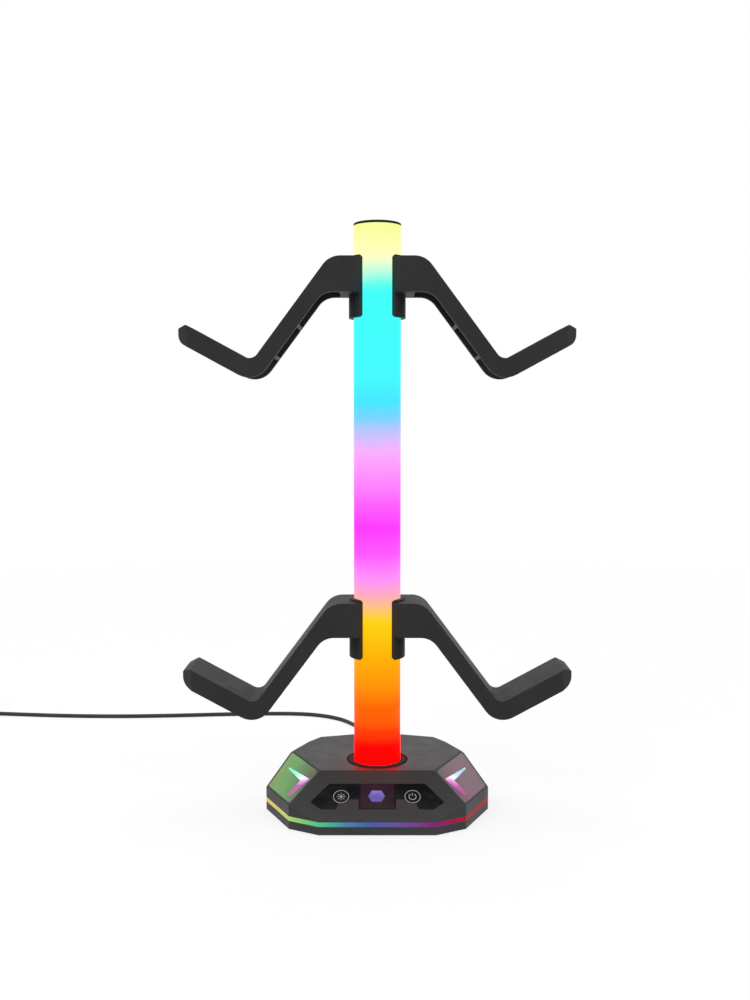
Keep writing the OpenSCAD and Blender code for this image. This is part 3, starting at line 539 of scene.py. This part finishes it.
power = bmesh.new()
ring(power, POWER_AT, SIGN_R)
ribbon(power, circle(POWER_AT, 1.65, 125, 290, 32), circle(POWER_AT, 1.28, 125, 290, 32), 0, PRINT, on_slope)
bar_sides = [[POWER_AT + Vector((x, y)) for y in (0.35, 1.8)] for x in (-0.18, 0.18)]
ribbon(power, *bar_sides, 0, PRINT, on_slope)
piece("power_sign", meshed("power_sign", power), sign_finish)

mark = bmesh.new()
tile(mark, [(-2.3, 15.2), (1.7, 15.2), (3.15, 12.4), (1.7, 9.6), (-2.3, 9.6), (-3.75, 12.4)],
     0, PRINT, on_slope)
piece("lit_mark", meshed("lit_mark", mark), lit_mark())


# Power cord: over the table, into a coil and out of it to the plug

CORD_D = 2.2
GLAND_TIP = Vector((0, 52.5, 9.2))
LEAD_ROUTE = [
    (0, 0, 0), (0, 1.5, 0), (0, 3, 0), (0, 7, -0.5), (-0.2, 13, -2.2), (-0.6, 19, -5),
    (-1, 26, -7.4), (-2.2, 34, -8.1), (-4, 42, -8.1), (-6.6, 50, -8.1), (-10, 58, -8.1),
    (-14.6, 66, -8.1), (-20, 73, -8.1), (-28, 79, -8.1), (-38, 83, -8.1), (-50, 84.6, -8.1),
    (-62, 84.6, -8.1), (-75, 84, -8.1), (-90, 83, -8.1), (-105, 81.6, -8.1), (-120, 80.4, -8.1),
    (-135, 79.6, -8.1), (-150, 79.4, -8.1), (-165, 79.8, -8.1), (-180, 80.8, -8.1),
    (-195, 82.4, -8.1), (-208, 84, -8.1), (-220, 85, -8), (-231.5, 85.2, -7.8)]
COIL = Vector((-240, 152, 0))
COIL_MID_R = 12
COIL_TURNS = 11.75
POINTS_A_TURN = 24
TAIL_ROUTE = [(14.2, -8.6, 7.8), (14.2, -14, 7), (14.2, -20, 5.6), (14.2, -26, 4.6), (14.2, -31, 4),
              (14.2, -33.5, 4), (14.2, -36, 4)]

# Radius and height of each turn: four layers of three, wound in and out by turns
inwards = [COIL_MID_R + CORD_D, COIL_MID_R, COIL_MID_R - CORD_D]
coil_cells = [(radius, 1.7 + CORD_D * layer)
              for layer in range(4) for radius in (inwards if layer % 2 == 0 else inwards[::-1])]


def coil_point(turn):
    """A point of the coil; each turn shifts to the next cell over its last quarter."""
    k = min(int(turn), len(coil_cells) - 1)
    shift = max(0.0, (turn - k - 0.75) / 0.25)
    shift = shift * shift * (3 - 2 * shift)
    here, there = coil_cells[k], coil_cells[min(k + 1, len(coil_cells) - 1)]
    radius = here[0] + (there[0] - here[0]) * shift
    height = here[1] + (there[1] - here[1]) * shift
    angle = math.radians(-90 - 360 * turn)
    return COIL + Vector((radius * math.cos(angle), radius * math.sin(angle), height))


def smooth_line(points, parts):
    """Catmull-Rom line through points, each stretch cut into parts."""
    line = []
    for i in range(len(points) - 1):
        a, b = points[max(0, i - 1)], points[i]
        c, d = points[i + 1], points[min(len(points) - 1, i + 2)]
        for k in range(parts):
            t = k / parts
            line.append(0.5 * (2 * b + (c - a) * t + (2 * a - 5 * b + 4 * c - d) * t * t
                               + (3 * b - a - 3 * c + d) * t ** 3))
    return line + [points[-1]]


steps = round(COIL_TURNS * POINTS_A_TURN)
route = [GLAND_TIP + Vector(p) for p in LEAD_ROUTE]
route += [coil_point(COIL_TURNS * i / steps) for i in range(steps + 1)]
route += [COIL + Vector(p) for p in TAIL_ROUTE]
line = [p * MM for p in smooth_line(route, 3)]

cord_curve = bpy.data.curves.new("power_cord", "CURVE")
cord_curve.dimensions = "3D"
cord_curve.bevel_depth = CORD_D / 2 * MM
cord_curve.bevel_resolution = 3
cord_curve.use_fill_caps = True
spline = cord_curve.splines.new("POLY")
spline.points.add(len(line) - 1)
for point, place in zip(spline.points, line):
    point.co = (*place, 1)
spline.use_smooth = True
cord = piece("power_cord", cord_curve, rubber("lead_jacket", "#262628", 0.55))
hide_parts("cable_lead", "cable_coil", "cable_tail")


# Tie round one side of the coil: a loop of tape with its end laid over the top

TAPE_T = 0.5
TAPE_W = 5


def upright(across, height, along):
    """From across and up in the plane of the tie, which stands on the coil's left side."""
    return Vector((COIL.x - COIL_MID_R + across, along, height)) * MM


def boxed(half_w, low, high, radius, steps=6):
    """Rounded rectangle in the plane of the tie."""
    points = []
    for cx, cy, start in ((1, 1, 0), (-1, 1, 90), (-1, -1, 180), (1, -1, 270)):
        centre = (cx * (half_w - radius), (high - radius) if cy > 0 else (low + radius))
        points += circle(centre, radius, start, 90, steps)
    return points


tie = bmesh.new()
ribbon(tie, boxed(4.4, 0, 10, 1.4), boxed(4.4 - TAPE_T, TAPE_T, 10 - TAPE_T, 1.4 - TAPE_T),
       COIL.y - TAPE_W / 2, COIL.y + TAPE_W / 2, upright, True)
flap = [(-3.2, 10.05), (-2.0, 10.1), (0, 10.1), (2.0, 10.12), (3.0, 10.2), (3.9, 10.45)]
ribbon(tie, flap, [(x, z + 0.45) for x, z in flap], COIL.y - 2.4, COIL.y + 2.4, upright)
strap = piece("cord_tie", meshed("cord_tie", tie, True), woven_tape("tie_fabric", "#202022"))
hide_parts("cable_tie")


# Stage: pale table that runs out into the white of the backdrop, and soft studio light

table = Surface("table_white")
table.tree.nodes.remove(table.shader)
# Share of plain white in what is seen of the table; the rest keeps the stand's shadow
whiteness = table.spread(table.vector("LENGTH", table.place), 0.15, 0.9, 0.8, 1.0)
paper = table.mix(table.noise(40, 3), linear("#f4f4f4"), linear("#fafafa"))
dull = table.add("ShaderNodeBsdfDiffuse", {"Color": paper}).outputs[0]
bright = table.add("ShaderNodeEmission", {"Color": WHITE, "Strength": 1.0}).outputs[0]
blend = table.add("ShaderNodeMixShader", {
    0: table.maths("MULTIPLY", table.seen_directly(), whiteness), 1: dull, 2: bright})
table.feed(table.tree.nodes["Material Output"].inputs["Surface"], blend.outputs[0])
floor_mesh = bmesh.new()
bmesh.ops.create_grid(floor_mesh, x_segments=8, y_segments=8, size=4)
floor = bpy.data.objects.new("floor", meshed("floor", floor_mesh))
floor.location.z = -0.0001
floor.data.materials.append(table.material)
scene.collection.objects.link(floor)

# The world lights the stand with AMBIENT, and shows as plain white
AMBIENT = 0.6
world = bpy.data.worlds.new("studio")
world.use_nodes = True
scene.world = world
sky = NodeTree(world.node_tree)
backdrop = sky.tree.nodes["Background"]
backdrop.inputs["Color"].default_value = WHITE
sky.feed(backdrop.inputs["Strength"], sky.maths(
    "ADD", sky.maths("MULTIPLY", sky.seen_directly(), 1 - AMBIENT), AMBIENT))

LIGHTS_AIM = Vector((0, 0, 0.1))


def softbox(name, place, size, power):
    data = bpy.data.lights.new(name, "AREA")
    data.shape = "RECTANGLE"
    data.size, data.size_y = size
    data.energy = power
    lamp = bpy.data.objects.new(name, data)
    lamp.location = place
    lamp.rotation_euler = (LIGHTS_AIM - Vector(place)).to_track_quat("-Z", "Y").to_euler()
    scene.collection.objects.link(lamp)


softbox("key", (-0.7, -0.9, 1.0), (0.8, 0.8), 7)
softbox("fill", (0.9, -0.7, 0.6), (0.8, 0.8), 3)
softbox("top", (0, 0.3, 1.2), (1.0, 0.8), 5)

scene.view_settings.view_transform = "Standard"
